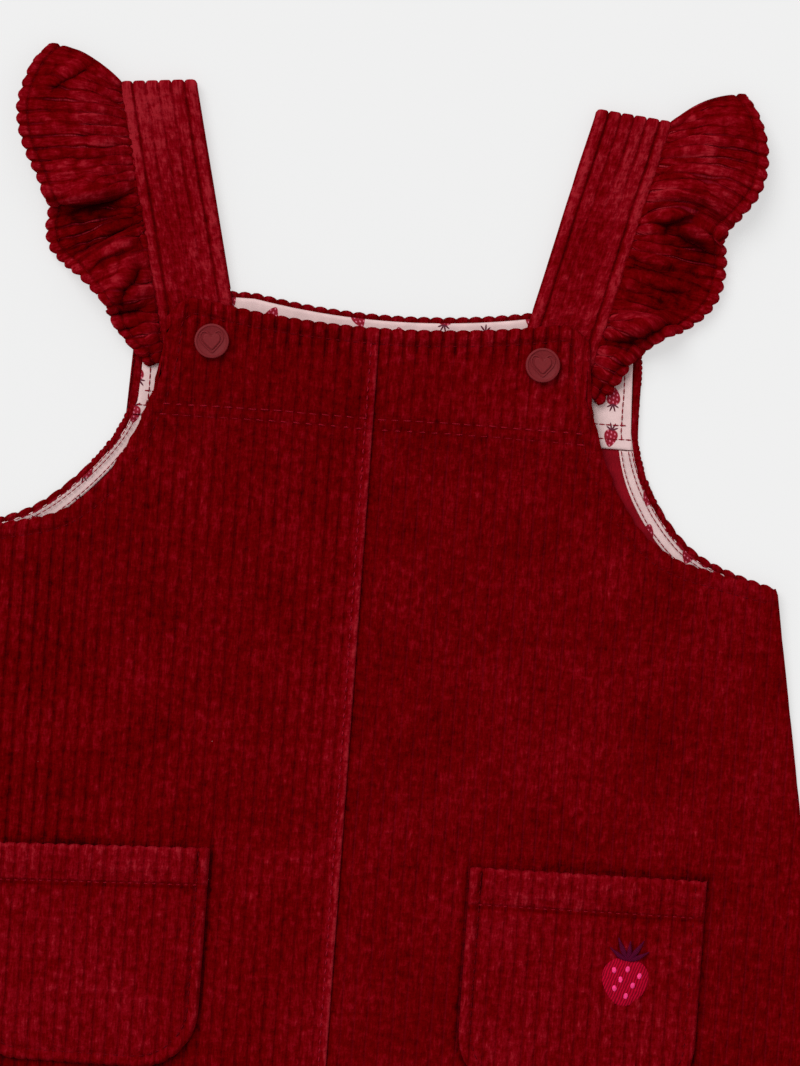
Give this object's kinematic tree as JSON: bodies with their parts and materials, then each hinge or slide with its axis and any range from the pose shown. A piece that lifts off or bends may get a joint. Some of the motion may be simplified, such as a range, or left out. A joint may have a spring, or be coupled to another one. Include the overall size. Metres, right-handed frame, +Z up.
{
  "type": "pinafore dress",
  "caption": "Baby's wide-wale corduroy pinafore dress laid out flat, with frilled straps, patch pockets and a facing of printed cotton.",
  "frame": {"origin": "on the surface it lies on, under the middle of its outline", "axes": "+Y up the garment from hem to shoulders, +X to the picture's right, +Z up from the surface, out of the dress's front"},
  "size_m": [0.3784, 0.4586, 0.014],
  "materials": {
    "corduroy": "deep red cotton corduroy, six wide wales to the inch",
    "corduroy_wrong_side": "the same corduroy, its smooth wrong side up",
    "facing_cotton": "pale pink plain cotton with small red berries",
    "button_rubber": "matt dusty red"
  },
  "bodies": {
    "root": {"front_left": "corduroy", "front_right": "corduroy", "back": "corduroy_wrong_side", "back_facing": "facing_cotton", "armhole_tape_left": "facing_cotton", "armhole_tape_right": "facing_cotton", "strap_left": "corduroy", "strap_right": "corduroy", "frill_left": "corduroy", "frill_right": "corduroy", "pocket_left": "corduroy", "pocket_right": "corduroy", "button_left": "button_rubber", "button_right": "button_rubber"}
  },
  "joints": []
}
